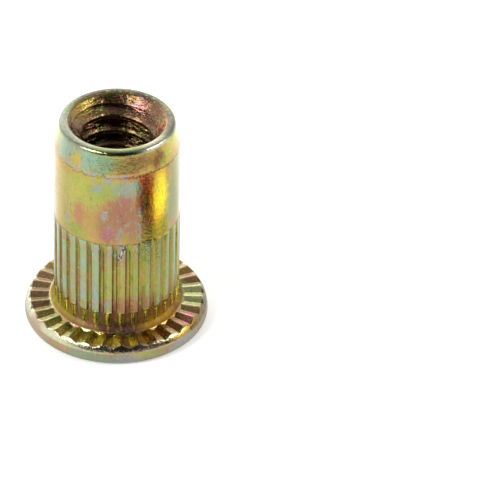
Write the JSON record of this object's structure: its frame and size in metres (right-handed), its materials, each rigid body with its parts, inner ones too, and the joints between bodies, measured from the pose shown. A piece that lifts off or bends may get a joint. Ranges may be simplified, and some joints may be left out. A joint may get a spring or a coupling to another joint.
{
  "type": "rivet nut",
  "caption": "Flat-head rivet nut with a knurled crimp sleeve, a toothed head face and an internally threaded nose.",
  "frame": {"origin": "middle of the head's flat bottom, on the nut's axis", "axes": "+Z along the axis, from the head to the threaded end; the nut is the same all round, apart from its knurl"},
  "size_m": [0.0132, 0.0132, 0.0168],
  "materials": {
    "plated_steel": "yellow chromated zinc plating, glossy and iridescent"
  },
  "bodies": {
    "root": {"rivet_nut": "plated_steel"}
  },
  "joints": []
}
